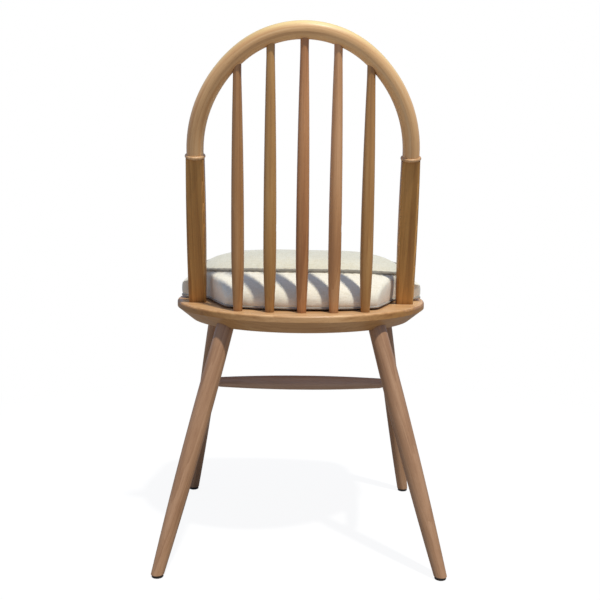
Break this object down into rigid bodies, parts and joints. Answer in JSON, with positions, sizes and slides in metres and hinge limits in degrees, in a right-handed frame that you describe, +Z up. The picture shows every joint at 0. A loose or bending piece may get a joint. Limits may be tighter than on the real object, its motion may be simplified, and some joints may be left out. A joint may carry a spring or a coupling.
{
  "type": "dining chair",
  "caption": "Hoop-back wooden dining chair with a bent arch on flat posts, turned spindles, splayed legs, an H-stretcher and a loose piped seat cushion.",
  "frame": {"origin": "on the floor, under the middle of the chair's overall box", "axes": "+Z up, -Y towards the front of the seat, +X towards the sitter's left"},
  "size_m": [0.4774, 0.4606, 0.879],
  "materials": {
    "wood_hoop": "satin oiled wood, pale honey",
    "wood_posts": "satin oiled wood, mid brown",
    "wood_spindles": "satin oiled wood, reddish brown",
    "wood_seat": "satin oiled wood, pale honey",
    "wood_legs": "satin oiled wood, greyish tan",
    "glide_plastic": "matt black plastic",
    "nail_steel": "plain steel",
    "cushion_fabric": "plain woven off-white fabric",
    "piping_fabric": "grey woven piping",
    "cushion_filling": "soft foam"
  },
  "bodies": {
    "frame": {"hoop_arch": "wood_hoop", "collar_left": "wood_hoop", "collar_right": "wood_hoop", "post_left": "wood_posts", "post_right": "wood_posts", "spindle_1": "wood_spindles", "spindle_2": "wood_spindles", "spindle_3": "wood_spindles", "spindle_4": "wood_spindles", "spindle_5": "wood_spindles", "seat": "wood_seat", "leg_front_left": "wood_legs", "leg_front_right": "wood_legs", "leg_rear_left": "wood_legs", "leg_rear_right": "wood_legs", "stretcher_left": "wood_legs", "stretcher_right": "wood_legs", "stretcher_cross": "wood_legs", "glide_front_left": "glide_plastic", "glide_front_right": "glide_plastic", "glide_rear_left": "glide_plastic", "glide_rear_right": "glide_plastic", "glide_nails": "nail_steel"},
    "cushion": {"cushion_top": "cushion_fabric", "cushion_boxing": "cushion_fabric", "cushion_bottom": "cushion_fabric", "piping_top": "piping_fabric", "piping_bottom": "piping_fabric", "cushion_foam": "cushion_filling"}
  },
  "joints": [
    {"name": "cushion_lift", "type": "slide", "parent": "frame", "child": "cushion", "axis": [0, 0, 1], "range_m": [0, 0.15]}
  ]
}
